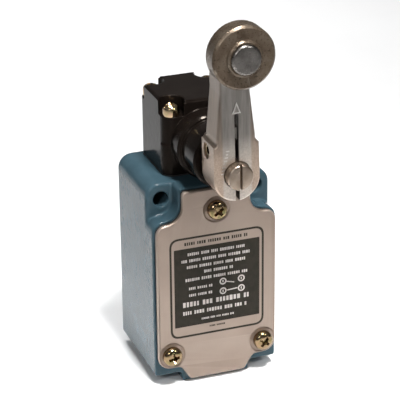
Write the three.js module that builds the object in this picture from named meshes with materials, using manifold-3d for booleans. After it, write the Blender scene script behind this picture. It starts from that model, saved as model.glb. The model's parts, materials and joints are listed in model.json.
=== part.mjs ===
// A heavy-duty limit switch: a die-cast housing with a conduit entry, a rotary head, and a roller lever.
// Millimetres. +X is right seen from the front, +Y is to the back, +Z is up.
// The origin is the centre of the rear mounting face, so the cover faces -Y.
import * as THREE from "three";
import { mergeVertices } from "three/addons/utils/BufferGeometryUtils.js";
import Module from "manifold-3d";

const wasm = await Module();
wasm.setup();

// Housing
const BODY_HALF_WIDTH = 19.95;
const BODY_HALF_HEIGHT = 31.15;
const BODY_FRONT = -33;
const EAR_FRONT = -27.5;
const WALL = 3;
const FLOOR_TOP = -27;
const CAVITY_TOP = 20.5;
const CAVITY_HALF_WIDTH = 16.4;
const TOP_POCKET_TOP = 27;
const TOP_POCKET_HALF_WIDTH = 6.5;
const EAR_HOLE = { x: 15.1, z: 26, radius: 2.45 };
const REAR_TAP_DEPTH = 8;
const REAR_TAP_RADIUS = 2.1;

// Conduit entry, half-inch pipe thread
const BOSS_BOTTOM = -34.2;
const BOSS_CENTRE_Y = -17;
const BOSS_RADIUS = 12.6;
const BOSS_FRONT_HALF_WIDTH = 11;
const CONDUIT_RADIUS = 9.3;
const THREAD_PITCH = 1.81;
const THREAD_DEPTH = 0.8;

// Cover, its gasket and its screws
const GASKET = 0.5;
const COVER_THICKNESS = 1.5;
const COVER_BACK = BODY_FRONT - GASKET;
const COVER_FRONT = COVER_BACK - COVER_THICKNESS;
const COVER_HALF_WIDTH = 19.35;
const COVER_TOP = 30.5;
const COVER_EDGE = 0.4;
const COVER_BOTTOM = -28.25;
const TAB_BOTTOM = -33.1;
const TAB_FLARE = { x: 13.4, radius: 2.6 };
const TAB_CORNER = { x: 8.16, radius: 1.4 };
const TAB_DRAFT = 32;
const RECESS_CENTRE = { x: 16.1, z: 25.55 };
const RECESS_RADIUS = 5.1;
const SHOULDER_RADIUS = COVER_HALF_WIDTH - RECESS_CENTRE.x;
const COVER_SCREWS = [
  { name: "top", x: 0, z: 23.45 },
  { name: "left", x: -15, z: -23.75 },
  { name: "right", x: 15, z: -23.75 },
];
const COVER_SCREW_LENGTH = 7.5;
const SCREW_RADIUS = 1.5;
const TAP_RADIUS = 1.75;

// Head
const HEAD_GASKET_TOP = BODY_HALF_HEIGHT + 0.5;
const HEAD_TOP = 55.1;
const HEAD_HALF_WIDTH = 12.4;
const HEAD_HALF_DEPTH = 11.9;
const HEAD_CENTRE_Y = -12;
const HEAD_CORNER_RADIUS = 3.6;
const HEAD_STEP_Z = 41.3;
const HEAD_STEP = 0.25;
const HEAD_FRONT = HEAD_CENTRE_Y - HEAD_HALF_DEPTH;
const HEAD_SCREW_OFFSET = 9.2;
const HEAD_SCREW_SEAT = 50.35;
const HEAD_SCREW_TIP = 24.4;
const NOTCH_RADIUS = 4.1;

// Shaft and what it carries
const SHAFT_Z = 41.65;
const SHAFT_RADIUS = 3.97;
const SHAFT_FRONT = -55.4;
const SHAFT_REAR = -2.4;
const SHAFT_BORE = 4.15;
const NECK_FRONT = -40.3;
const NECK_RADIUS = 9;
const COLLAR_FRONT = -30;
const COLLAR_RADIUS = 10.3;
const BUSHING_RADIUS = 6.2;
const CHAMBER_FRONT = -19;
const CHAMBER_REAR = -4;
const CHAMBER_RADIUS = 7.4;
const CAM_RADIUS = 5.6;
const CAM_FLAT = 4.9;

// Lever and roller
const LEVER_TILT = THREE.MathUtils.degToRad(-1);
const LEVER_FRONT = -52.4;
const LEVER_BACK = -41.6;
const ARM_BACK = -42.4;
const HUB_HALF_WIDTH = 7.1;
const HUB_ARC_Z = -1.3;
const SHOULDER_Z = 9.2;
const ARM_FOOT_HALF_WIDTH = 6;
const ARM_HALF_WIDTH = 4.6;
const ARM_EDGE = 1.2;
const ARM_TAPER_END = 25;
const FLANGE_END = 28;
const SHEET = 1.5;
const SLIT_WIDTH = 1.05;
const SLIT_TOP = 18.7;
const ARROW = { halfWidth: 1.3, base: 19.1, tip: 22.4, rise: 0.25 };
const LEVER_RADIUS = 38.1;
const CLAMP = { y: -45.7, z: 6.2, bore: 2.1 };
const CLAMP_SCREW = {
  tip: 7.9,
  seat: -4.6,
  headTop: -6.5,
  shank: 1.9,
  head: 2.25,
  socket: 1.2,
  socketDepth: 1.3,
};
const ROLLER_RADIUS = 9.5;
const ROLLER_FRONT = -59.95;
const ROLLER_BACK = -53.6;
const ROLLER_BORE = 2.65;
const HUB_RING_RADIUS = 5.35;
const HUB_RING_FRONT = -60.85;
const PIN_HEAD_RADIUS = 4.5;
const PIN_FRONT = -62;
const PIN_RADIUS = 2.5;

// Plunger, on the head's centre line
const PLUNGER_TOP = 35.7;
const PLUNGER_BOTTOM = 18.7;
const PLUNGER_RADIUS = 2;
const GUIDE_RADIUS = 5.2;

// Basic switch
const CASE_HALF_WIDTH = 12.5;
const CASE_FRONT = -24;
const CASE_BACK = -6;
const CASE_TOP = 17;
const CASE_BOTTOM = -7;
const CASE_WALL = 2;
const FRONT_THICKNESS = 1.6;
const SWITCH_SCREW = { x: 10.5, z: { "-1": -4.5, 1: 14.5 } };
const GROUND_SCREW = { x: -11, z: -14 };
const CONTACT_Y = -14;
const CONTACT_X = 6.5;
const STRIP = 0.8;
const TERMINAL_SCREW_RISE = 4;
const CONTACT_PAIRS = [
  { name: "closed", level: 6.9, rise: 1 },
  { name: "open", level: 1.9, rise: -1 },
];

const ROUND = 40;
const SMALL_ROUND = 16;

// ---- geometry helpers ----

function toSolid(geometry) {
  const bare = geometry.clone();
  bare.deleteAttribute("normal");
  bare.deleteAttribute("uv");
  const merged = mergeVertices(bare, 1e-4);
  const mesh = new wasm.Mesh({
    numProp: 3,
    vertProperties: new Float32Array(merged.attributes.position.array),
    triVerts: new Uint32Array(merged.index.array),
  });
  return new wasm.Manifold(mesh);
}

function toGeometry(solid) {
  const mesh = solid.getMesh();
  const geometry = new THREE.BufferGeometry();
  geometry.setAttribute("position", new THREE.BufferAttribute(mesh.vertProperties, 3));
  geometry.setIndex(new THREE.BufferAttribute(mesh.triVerts, 1));
  geometry.computeVertexNormals();
  return geometry;
}

function join(...geometries) {
  return toGeometry(geometries.map(toSolid).reduce((sum, next) => sum.add(next)));
}

function cut(geometry, ...tools) {
  return toGeometry(tools.map(toSolid).reduce((rest, tool) => rest.subtract(tool), toSolid(geometry)));
}

function block([x0, x1], [y0, y1], [z0, z1]) {
  const box = new THREE.BoxGeometry(x1 - x0, y1 - y0, z1 - z0);
  return box.translate((x0 + x1) / 2, (y0 + y1) / 2, (z0 + z1) / 2);
}

// Points on an arc about (x, z), angles in degrees, counterclockwise seen from the front.
function arc(x, z, radius, from, to, steps = 6) {
  const points = [];
  for (let i = 0; i <= steps; i += 1) {
    const angle = THREE.MathUtils.degToRad(from + ((to - from) * i) / steps);
    points.push(new THREE.Vector2(x + radius * Math.cos(angle), z + radius * Math.sin(angle)));
  }
  return points;
}

// A left-right symmetrical outline from its right half, listed from the top centre to the bottom centre.
function symmetrical(rightHalf) {
  const leftHalf = rightHalf.map((p) => new THREE.Vector2(-p.x, p.y)).reverse();
  return new THREE.Shape([...rightHalf, ...leftHalf]);
}

function roundedRectangle(halfWidth, bottom, top, radius) {
  return symmetrical([
    ...arc(halfWidth - radius, top - radius, radius, 90, 0),
    ...arc(halfWidth - radius, bottom + radius, radius, 0, -90),
  ]);
}

// Extrudes an outline drawn in X and Z, from the front face to the back face, with broken or rounded edges.
function plate(shape, front, back, edge = 0, edgeSteps = 1) {
  const geometry = new THREE.ExtrudeGeometry(shape, {
    depth: back - front - 2 * edge,
    bevelEnabled: edge > 0,
    bevelThickness: edge,
    bevelSize: edge,
    bevelOffset: -edge,
    bevelSegments: edgeSteps,
    curveSegments: 12,
  });
  return geometry.rotateX(Math.PI / 2).translate(0, back - edge, 0);
}

// Extrudes an outline drawn in X and Y, from the bottom to the top.
function slab(shape, bottom, top) {
  const geometry = new THREE.ExtrudeGeometry(shape, {
    depth: top - bottom,
    bevelEnabled: false,
    curveSegments: 12,
  });
  return geometry.translate(0, 0, bottom);
}

// Extrudes an outline of [y, z] points, from the left side to the right side.
function sidePlate(points, left, right) {
  const shape = new THREE.Shape(points.map(([y, z]) => new THREE.Vector2(y, z)));
  const geometry = new THREE.ExtrudeGeometry(shape, { depth: right - left, bevelEnabled: false });
  return geometry.rotateX(Math.PI / 2).rotateZ(Math.PI / 2).translate(left, 0, 0);
}

// Turns a closed profile of [radius, height] points about the Y axis.
function turn(profile, segments = SMALL_ROUND) {
  const points = profile.map(([r, h]) => new THREE.Vector2(r, h));
  const onAxis = points[0].x === 0 && points[points.length - 1].x === 0;
  if (!onAxis) points.push(points[0].clone());
  if (THREE.ShapeUtils.area(points) < 0) points.reverse();
  return new THREE.LatheGeometry(points, segments);
}

function turnUpright(profile, segments) {
  return turn(profile, segments).rotateX(Math.PI / 2);
}

function rod(radius, front, back, segments = SMALL_ROUND) {
  const cylinder = new THREE.CylinderGeometry(radius, radius, back - front, segments);
  return cylinder.translate(0, (front + back) / 2, 0);
}

function post(radius, bottom, top, segments = SMALL_ROUND) {
  const cylinder = new THREE.CylinderGeometry(radius, radius, top - bottom, segments);
  return cylinder.rotateX(Math.PI / 2).translate(0, 0, (bottom + top) / 2);
}

// A coil spring's wire along +Y, from height 0.
function coil(meanRadius, wireRadius, turns, pitch) {
  const stepsPerTurn = 12;
  const points = [];
  for (let i = 0; i <= turns * stepsPerTurn; i += 1) {
    const angle = (2 * Math.PI * i) / stepsPerTurn;
    const along = (pitch * i) / stepsPerTurn;
    points.push(new THREE.Vector3(meanRadius * Math.cos(angle), along, meanRadius * Math.sin(angle)));
  }
  const path = new THREE.CatmullRomCurve3(points);
  const section = new THREE.Shape(arc(0, 0, wireRadius, 0, 300, 5));
  return new THREE.ExtrudeGeometry(section, {
    steps: points.length - 1,
    bevelEnabled: false,
    extrudePath: path,
  });
}

// ---- materials ----

function material(color, roughness, metalness) {
  return new THREE.MeshStandardMaterial({ color, roughness, metalness });
}

const PAINT = () => material(0x3f6878, 0.35, 0.1);
const COVER_METAL = () => material(0xb8a390, 0.4, 0.8);
const HEAD_PAINT = () => material(0x26201e, 0.3, 0.1);
const ZINC_YELLOW = () => material(0xa8905c, 0.35, 0.9);
const STEEL = () => material(0x9a928a, 0.35, 0.9);
const SINTERED = () => material(0x5f5244, 0.55, 0.7);
const RUBBER = () => material(0x1c1b1a, 0.8, 0);
const BRONZE = () => material(0x9c7440, 0.45, 0.9);
const BRASS = () => material(0xb79a55, 0.35, 0.9);
const COPPER = () => material(0xb87a4b, 0.35, 0.9);
const PHENOLIC = () => material(0x2a2320, 0.5, 0);
const NYLON = () => material(0xd8d2c0, 0.5, 0);
const GREEN_ZINC = () => material(0x3f8a4a, 0.4, 0.6);

const limitSwitch = new THREE.Group();
limitSwitch.name = "limit_switch";

function add(name, geometry, meshMaterial, parent = limitSwitch) {
  const mesh = new THREE.Mesh(geometry, meshMaterial);
  mesh.name = name;
  parent.add(mesh);
  return mesh;
}

// ---- screws ----

// Two crossed slots, open to the front, in a head whose front face is at `front`.
function crossRecess(length, width, front, depth) {
  const half = length / 2;
  const y = [front - 1, front + depth];
  return [
    block([-half, half], y, [-width / 2, width / 2]),
    block([-width / 2, width / 2], y, [-half, half]),
  ];
}

// A pan-head screw along +Y with its seat at y = 0 and its head in front of it.
function panHeadScrew(headRadius, headHeight, shankRadius, length) {
  const body = turn([
    [0, length],
    [shankRadius - 0.3, length],
    [shankRadius, length - 0.5],
    [shankRadius, 0],
    [headRadius, 0],
    [headRadius, -headHeight * 0.45],
    [headRadius * 0.9, -headHeight * 0.75],
    [headRadius * 0.66, -headHeight * 0.95],
    [0, -headHeight],
  ]);
  return cut(body, ...crossRecess(headRadius * 1.15, 0.75, -headHeight, headHeight * 0.6));
}

// A tall cheese-head screw, upright, with its seat at z = 0. The slot crosses the whole head.
function cheeseHeadScrew(headRadius, headHeight, shankRadius, length) {
  const body = turnUpright([
    [0, -length],
    [shankRadius - 0.3, -length],
    [shankRadius, 0.5 - length],
    [shankRadius, 0],
    [headRadius, 0],
    [headRadius, headHeight - 0.6],
    [headRadius - 0.5, headHeight - 0.1],
    [0, headHeight],
  ]);
  const slot = block([-4, 4], [-0.4, 0.4], [headHeight - 1.3, headHeight + 1]);
  const cross = block([-0.4, 0.4], [-1.4, 1.4], [headHeight - 1.6, headHeight + 1]);
  return cut(body, slot, cross);
}

// ---- housing ----

// The cover's outline, grown on every side. Seen from the front.
function coverOutline(grow) {
  const topCorner = 1.2;
  const screwCorner = 4;
  const neck = RECESS_CENTRE.x - RECESS_RADIUS + grow;
  const shoulderZ = RECESS_CENTRE.z - RECESS_RADIUS - SHOULDER_RADIUS;
  return symmetrical([
    ...arc(neck - topCorner, COVER_TOP + grow - topCorner, topCorner, 90, 0, 4),
    ...arc(RECESS_CENTRE.x, RECESS_CENTRE.z, RECESS_RADIUS - grow, 180, 270, 10),
    ...arc(RECESS_CENTRE.x, shoulderZ, SHOULDER_RADIUS + grow, 90, 0),
    ...arc(COVER_HALF_WIDTH - screwCorner, COVER_BOTTOM + screwCorner, screwCorner + grow, 0, -90),
    ...arc(TAB_FLARE.x, COVER_BOTTOM - TAB_FLARE.radius, TAB_FLARE.radius - grow, 90, 180 - TAB_DRAFT),
    ...arc(TAB_CORNER.x, TAB_BOTTOM + TAB_CORNER.radius, TAB_CORNER.radius + grow, -TAB_DRAFT, -90, 4),
  ]);
}

// The raised front of the housing: the cover's outline at the top, square at the foot, with the boss below.
function frontBlockOutline() {
  const rim = BODY_HALF_WIDTH - COVER_HALF_WIDTH;
  const neck = RECESS_CENTRE.x - RECESS_RADIUS + rim;
  const shoulderZ = RECESS_CENTRE.z - RECESS_RADIUS - SHOULDER_RADIUS;
  const topCorner = 1.2;
  const footCorner = 1;
  const flare = 1.2;
  return symmetrical([
    ...arc(neck - topCorner, BODY_HALF_HEIGHT - topCorner, topCorner, 90, 0, 4),
    ...arc(RECESS_CENTRE.x, RECESS_CENTRE.z, RECESS_RADIUS - rim, 180, 270, 10),
    ...arc(RECESS_CENTRE.x, shoulderZ, SHOULDER_RADIUS + rim, 90, 0),
    ...arc(BODY_HALF_WIDTH - footCorner, footCorner - BODY_HALF_HEIGHT, footCorner, 0, -90, 3),
    ...arc(BOSS_FRONT_HALF_WIDTH + flare, -BODY_HALF_HEIGHT - flare, flare, 90, 180, 4),
    new THREE.Vector2(BOSS_FRONT_HALF_WIDTH, BOSS_BOTTOM),
  ]);
}

function rearBlockOutline() {
  const earCorner = 4.5;
  const footCorner = 1;
  return symmetrical([
    ...arc(BODY_HALF_WIDTH - earCorner, BODY_HALF_HEIGHT - earCorner, earCorner, 90, 0, 8),
    ...arc(BODY_HALF_WIDTH - footCorner, footCorner - BODY_HALF_HEIGHT, footCorner, 0, -90, 3),
  ]);
}

// The hollow, open to the front. The corners round the lower screws stay solid.
function cavityOutline() {
  const fillet = 1.5;
  const pillar = 4.2;
  const screw = COVER_SCREWS[2];
  return symmetrical([
    ...arc(TOP_POCKET_HALF_WIDTH - fillet, TOP_POCKET_TOP - fillet, fillet, 90, 0, 3),
    ...arc(TOP_POCKET_HALF_WIDTH + fillet, CAVITY_TOP + fillet, fillet, 180, 270, 3),
    ...arc(CAVITY_HALF_WIDTH - fillet, CAVITY_TOP - fillet, fillet, 90, 0, 3),
    ...arc(screw.x, screw.z, pillar, 70, 218, 8),
  ]);
}

// The tapered pipe thread's ridges, as rings on the boring tool.
function conduitTool() {
  const lead = 0.8;
  const profile = [
    [0, BOSS_BOTTOM - 1],
    [CONDUIT_RADIUS + lead + 1, BOSS_BOTTOM - 1],
    [CONDUIT_RADIUS, BOSS_BOTTOM + lead],
  ];
  let z = BOSS_BOTTOM + lead;
  while (z + THREAD_PITCH < FLOOR_TOP) {
    profile.push([CONDUIT_RADIUS + THREAD_DEPTH, z + THREAD_PITCH / 2]);
    profile.push([CONDUIT_RADIUS, z + THREAD_PITCH]);
    z += THREAD_PITCH;
  }
  profile.push([CONDUIT_RADIUS, FLOOR_TOP + 1], [0, FLOOR_TOP + 1]);
  return turnUpright(profile, ROUND).translate(0, BOSS_CENTRE_Y, 0);
}

function housingGeometry() {
  const frontBlock = plate(frontBlockOutline(), BODY_FRONT, EAR_FRONT + 1);
  const rearBlock = plate(rearBlockOutline(), EAR_FRONT, 0, 0.6);
  const bossFront = block(
    [-BOSS_FRONT_HALF_WIDTH, BOSS_FRONT_HALF_WIDTH],
    [EAR_FRONT, BOSS_CENTRE_Y],
    [BOSS_BOTTOM, -BODY_HALF_HEIGHT + 1],
  );
  const bossRound = post(BOSS_RADIUS, BOSS_BOTTOM, -BODY_HALF_HEIGHT + 1, ROUND);
  bossRound.translate(0, BOSS_CENTRE_Y, 0);
  const shell = cut(
    join(frontBlock, rearBlock, bossFront, bossRound),
    plate(cavityOutline(), BODY_FRONT - 1, -WALL),
    conduitTool(),
  );
  const top = COVER_SCREWS[0];
  const topPillar = rod(3.2, BODY_FRONT, BODY_FRONT + 9).translate(top.x, 0, top.z);
  const topWeb = block([-2.2, 2.2], [BODY_FRONT, BODY_FRONT + 9], [top.z, TOP_POCKET_TOP + 1]);
  const switchPads = [-1, 1].map((side) =>
    rod(3, CASE_BACK, 1 - WALL).translate(SWITCH_SCREW.x * side, 0, SWITCH_SCREW.z[side]),
  );
  const groundPad = rod(3.4, -7, 1 - WALL).translate(GROUND_SCREW.x, 0, GROUND_SCREW.z);
  const withPillars = join(shell, topPillar, topWeb, ...switchPads, groundPad);
  return cut(withPillars, ...housingHoles());
}

function housingHoles() {
  const screwTap = (depth) => rod(TAP_RADIUS, BODY_FRONT - 1, BODY_FRONT + depth);
  const holes = COVER_SCREWS.map((screw) => screwTap(8).translate(screw.x, 0, screw.z));
  const lower = COVER_SCREWS[2];
  for (const side of [-1, 1]) {
    const ear = rod(EAR_HOLE.radius, EAR_FRONT - 1, 1);
    const rearTap = rod(REAR_TAP_RADIUS, -REAR_TAP_DEPTH, 1);
    const switchTap = rod(TAP_RADIUS, CASE_BACK - 1, -0.8);
    holes.push(ear.translate(side * EAR_HOLE.x, 0, EAR_HOLE.z));
    holes.push(rearTap.translate(side * lower.x, 0, lower.z));
    holes.push(switchTap.translate(side * SWITCH_SCREW.x, 0, SWITCH_SCREW.z[side]));
  }
  for (const { x, y } of headScrewSpots()) {
    holes.push(post(TAP_RADIUS, HEAD_SCREW_TIP - 1, BODY_HALF_HEIGHT + 1).translate(x, y, 0));
  }
  holes.push(rod(TAP_RADIUS, -8, -0.8).translate(GROUND_SCREW.x, 0, GROUND_SCREW.z));
  const guideHole = post(GUIDE_RADIUS + 0.15, TOP_POCKET_TOP - 1, BODY_HALF_HEIGHT + 1, ROUND);
  holes.push(guideHole.translate(0, HEAD_CENTRE_Y, 0));
  return holes;
}

function addHousing() {
  add("housing", housingGeometry(), PAINT());

  const gasketOutline = coverOutline(-0.1);
  gasketOutline.holes.push(new THREE.Path(cavityOutline().getPoints().reverse()));
  const gasketHoles = COVER_SCREWS.map((s) =>
    rod(TAP_RADIUS, COVER_BACK - 1, BODY_FRONT + 1).translate(s.x, 0, s.z),
  );
  add("cover_gasket", cut(plate(gasketOutline, COVER_BACK, BODY_FRONT), ...gasketHoles), RUBBER());

  const coverHoles = COVER_SCREWS.map((s) =>
    rod(TAP_RADIUS, COVER_FRONT - 1, COVER_BACK + 1).translate(s.x, 0, s.z),
  );
  const cover = plate(coverOutline(0), COVER_FRONT, COVER_BACK, COVER_EDGE);
  add("cover_plate", cut(cover, ...coverHoles), COVER_METAL());

  for (const screw of COVER_SCREWS) {
    const geometry = panHeadScrew(3.1, 2.3, SCREW_RADIUS, COVER_SCREW_LENGTH);
    const mesh = add(`cover_screw_${screw.name}`, geometry, ZINC_YELLOW());
    mesh.position.set(screw.x, COVER_FRONT, screw.z);
  }

  const ground = add("ground_screw", panHeadScrew(2.8, 2, SCREW_RADIUS, 5), GREEN_ZINC());
  ground.position.set(GROUND_SCREW.x, -7, GROUND_SCREW.z);
}

// ---- head ----

function headPlan(grow) {
  const halfDepth = HEAD_HALF_DEPTH + grow;
  return roundedRectangle(HEAD_HALF_WIDTH + grow, -halfDepth, halfDepth, HEAD_CORNER_RADIUS);
}

function headScrewSpots() {
  const spots = [];
  for (const [endName, end] of [["front", -1], ["rear", 1]]) {
    for (const [sideName, side] of [["left", -1], ["right", 1]]) {
      spots.push({
        name: `head_screw_${endName}_${sideName}`,
        x: side * HEAD_SCREW_OFFSET,
        y: HEAD_CENTRE_Y + end * HEAD_SCREW_OFFSET,
      });
    }
  }
  return spots;
}

function headGeometry() {
  const body = slab(headPlan(0), HEAD_GASKET_TOP, HEAD_TOP - 0.6).translate(0, HEAD_CENTRE_Y, 0);
  const cap = slab(headPlan(-0.5), HEAD_TOP - 1, HEAD_TOP).translate(0, HEAD_CENTRE_Y, 0);
  const behindStep = block(
    [-HEAD_HALF_WIDTH - 1, HEAD_HALF_WIDTH + 1],
    [HEAD_FRONT + HEAD_CORNER_RADIUS, 1],
    [HEAD_GASKET_TOP - 1, HEAD_STEP_Z + 1],
  );
  const lower = slab(headPlan(HEAD_STEP), HEAD_GASKET_TOP, HEAD_STEP_Z).translate(0, HEAD_CENTRE_Y, 0);
  const step = cut(lower, behindStep);
  const boss = turn(
    [
      [0, HEAD_FRONT + 2],
      [COLLAR_RADIUS, HEAD_FRONT + 2],
      [COLLAR_RADIUS, COLLAR_FRONT + 0.9],
      [COLLAR_RADIUS - 0.3, COLLAR_FRONT + 0.3],
      [COLLAR_RADIUS - 0.9, COLLAR_FRONT],
      [NECK_RADIUS, COLLAR_FRONT],
      [NECK_RADIUS, NECK_FRONT + 0.6],
      [NECK_RADIUS - 0.6, NECK_FRONT],
      [0, NECK_FRONT],
    ],
    ROUND,
  ).translate(0, 0, SHAFT_Z);
  const chamber = rod(CHAMBER_RADIUS, CHAMBER_FRONT, CHAMBER_REAR, ROUND).translate(0, 0, SHAFT_Z);
  const opening = block(
    [-CHAMBER_RADIUS + 0.2, CHAMBER_RADIUS - 0.2],
    [CHAMBER_FRONT, CHAMBER_REAR],
    [HEAD_GASKET_TOP - 1, SHAFT_Z],
  );
  const belowBase = block([-15, 15], [NECK_FRONT, 1], [HEAD_GASKET_TOP - 2, HEAD_GASKET_TOP]);
  const tools = [
    belowBase,
    chamber,
    opening,
    rod(BUSHING_RADIUS + 0.15, NECK_FRONT - 1, CHAMBER_FRONT + 1, ROUND).translate(0, 0, SHAFT_Z),
    rod(SHAFT_BORE, CHAMBER_REAR - 1, SHAFT_REAR + 0.4, ROUND).translate(0, 0, SHAFT_Z),
  ];
  for (const { x, y } of headScrewSpots()) {
    tools.push(post(NOTCH_RADIUS, HEAD_SCREW_SEAT, HEAD_TOP + 1, 32).translate(x, y, 0));
    tools.push(post(TAP_RADIUS, HEAD_GASKET_TOP - 1, HEAD_SCREW_SEAT + 1).translate(x, y, 0));
  }
  return cut(join(body, step, cap, boss), ...tools);
}

function addHead() {
  add("head_housing", headGeometry(), HEAD_PAINT());

  const sheet = slab(headPlan(0), BODY_HALF_HEIGHT, HEAD_GASKET_TOP).translate(0, HEAD_CENTRE_Y, 0);
  const holes = headScrewSpots().map(({ x, y }) =>
    post(TAP_RADIUS, BODY_HALF_HEIGHT - 1, HEAD_GASKET_TOP + 1).translate(x, y, 0),
  );
  holes.push(post(6.4, BODY_HALF_HEIGHT - 1, HEAD_GASKET_TOP + 1, 32).translate(0, HEAD_CENTRE_Y, 0));
  add("head_gasket", cut(sheet, ...holes), RUBBER());

  for (const { name, x, y } of headScrewSpots()) {
    const length = HEAD_SCREW_SEAT - HEAD_SCREW_TIP;
    const mesh = add(name, cheeseHeadScrew(2.6, 3.5, SCREW_RADIUS, length), ZINC_YELLOW());
    mesh.position.set(x, y, HEAD_SCREW_SEAT);
  }
}

// ---- shaft ----

function shaftGeometry() {
  const groove = { front: -9.2, back: -8.2, radius: 3.3 };
  const body = turn(
    [
      [0, SHAFT_FRONT],
      [SHAFT_RADIUS - 0.4, SHAFT_FRONT],
      [SHAFT_RADIUS, SHAFT_FRONT + 0.4],
      [SHAFT_RADIUS, groove.front],
      [groove.radius, groove.front],
      [groove.radius, groove.back],
      [SHAFT_RADIUS, groove.back],
      [SHAFT_RADIUS, SHAFT_REAR],
      [0, SHAFT_REAR],
    ],
    ROUND,
  );
  const driverSlot = block([-0.4, 0.4], [SHAFT_FRONT - 1, SHAFT_FRONT + 1.3], [-5, 5]);
  return cut(body, driverSlot);
}

function ring(inner, outer, front, back, segments = ROUND) {
  return turn([[inner, front], [outer, front], [outer, back], [inner, back]], segments);
}

function camGeometry() {
  const disc = ring(4.1, CAM_RADIUS, -14, -10);
  const belowFlat = block([-8, 8], [-15, -9], [-8, -CAM_FLAT]);
  return cut(disc, belowFlat);
}

function addShaft() {
  const onAxis = new THREE.Group();
  onAxis.position.z = SHAFT_Z;
  limitSwitch.add(onAxis);

  add("shaft", shaftGeometry(), STEEL(), onAxis);
  add("shaft_bushing", ring(SHAFT_BORE, BUSHING_RADIUS, -37, -19.3), BRONZE(), onAxis);
  add("shaft_seal", ring(SHAFT_BORE + 0.1, BUSHING_RADIUS, -39.8, -37.3), RUBBER(), onAxis);
  add("shaft_cam", camGeometry(), STEEL(), onAxis);

  const clipGap = block([-2.2, 2.2], [-10, -8], [0, 8]);
  add("shaft_retaining_ring", cut(ring(3.5, 5.4, -9.1, -8.3, 32), clipGap), STEEL(), onAxis);

  const spring = add("return_spring", coil(5.4, 0.4, 4, 1), STEEL(), onAxis);
  spring.position.y = -18.55;
}

// ---- lever, in a group whose origin is on the shaft's axis ----

function armOutline(inset) {
  return symmetrical([
    ...arc(0, LEVER_RADIUS, ARM_HALF_WIDTH - inset, 90, 0, 10),
    new THREE.Vector2(ARM_HALF_WIDTH - inset, ARM_TAPER_END),
    new THREE.Vector2(ARM_FOOT_HALF_WIDTH - inset, SHOULDER_Z + 2.4),
    new THREE.Vector2(ARM_FOOT_HALF_WIDTH - inset, inset > 0 ? SHOULDER_Z + 1 : 0),
  ]);
}

// Its shoulders are hollow fillets between the arm's sides and the hub's sharp corners.
function hubOutline() {
  const fillet = HUB_HALF_WIDTH - ARM_FOOT_HALF_WIDTH;
  return symmetrical([
    ...arc(HUB_HALF_WIDTH, SHOULDER_Z + fillet, fillet, 180, 265, 4),
    ...arc(0, HUB_ARC_Z, HUB_HALF_WIDTH, 0, -90, 10),
  ]);
}

// Everything behind the face plate, above the line where the flanges stop.
function aboveFlanges() {
  const inner = LEVER_FRONT + SHEET;
  const points = [
    [inner, LEVER_RADIUS - 3.5],
    [inner + 2.5, LEVER_RADIUS - 4.5],
    [ARM_BACK + 1, FLANGE_END],
    [ARM_BACK + 1, LEVER_RADIUS + 8],
    [inner, LEVER_RADIUS + 8],
  ];
  return sidePlate(points, -ARM_FOOT_HALF_WIDTH - 1, ARM_FOOT_HALF_WIDTH + 1);
}

function clampTool(radius, left, right) {
  return rod(radius, left, right, 24).rotateZ(-Math.PI / 2).translate(0, CLAMP.y, CLAMP.z);
}

function leverGeometry() {
  const hub = plate(hubOutline(), LEVER_FRONT, LEVER_BACK, 0.4);
  const arm = plate(armOutline(0), LEVER_FRONT, ARM_BACK, ARM_EDGE, 4);
  const channel = plate(armOutline(SHEET), LEVER_FRONT + SHEET, ARM_BACK + 1);
  const triangle = new THREE.Shape([
    new THREE.Vector2(-ARROW.halfWidth, ARROW.base),
    new THREE.Vector2(ARROW.halfWidth, ARROW.base),
    new THREE.Vector2(0, ARROW.tip),
  ]);
  const arrow = plate(triangle, LEVER_FRONT - ARROW.rise, LEVER_FRONT + 0.5);
  const slit = block(
    [-SLIT_WIDTH / 2, SLIT_WIDTH / 2],
    [LEVER_FRONT - 1, LEVER_BACK + 1],
    [HUB_ARC_Z - HUB_HALF_WIDTH - 1, SLIT_TOP],
  );
  const clampBore = clampTool(CLAMP.bore, -HUB_HALF_WIDTH, HUB_HALF_WIDTH + 1);
  const counterbore = clampTool(CLAMP_SCREW.head + 0.15, -HUB_HALF_WIDTH - 1, CLAMP_SCREW.seat);
  return cut(
    join(hub, cut(arm, channel, aboveFlanges()), arrow),
    rod(SHAFT_BORE, LEVER_FRONT - 1, LEVER_BACK + 1, ROUND),
    slit,
    clampBore,
    counterbore,
    rod(PIN_RADIUS + 0.15, LEVER_FRONT - 1, LEVER_FRONT + SHEET + 1).translate(0, 0, LEVER_RADIUS),
  );
}

// The clamp screw lies along X, with its socket head sunk in the hub's left side.
function clampScrewGeometry() {
  const { tip, shank, head, headTop, seat, socket, socketDepth } = CLAMP_SCREW;
  const body = turn([
    [0, tip],
    [shank - 0.5, tip],
    [shank, tip - 0.5],
    [shank, seat],
    [head, seat],
    [head, headTop + 0.3],
    [head - 0.3, headTop],
    [0, headTop],
  ]);
  const hexagon = new THREE.CylinderGeometry(socket, socket, 2 * socketDepth, 6);
  return cut(body, hexagon.translate(0, headTop, 0)).rotateZ(-Math.PI / 2);
}

function rollerGeometry() {
  return turn(
    [
      [ROLLER_BORE, HUB_RING_FRONT + 0.25],
      [4.6, HUB_RING_FRONT],
      [HUB_RING_RADIUS - 0.5, HUB_RING_FRONT],
      [HUB_RING_RADIUS, HUB_RING_FRONT + 0.45],
      [HUB_RING_RADIUS + 0.1, ROLLER_FRONT],
      [ROLLER_RADIUS - 0.7, ROLLER_FRONT],
      [ROLLER_RADIUS, ROLLER_FRONT + 0.7],
      [ROLLER_RADIUS, ROLLER_BACK - 0.7],
      [ROLLER_RADIUS - 0.7, ROLLER_BACK],
      [ROLLER_BORE, ROLLER_BACK],
    ],
    ROUND,
  );
}

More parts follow.
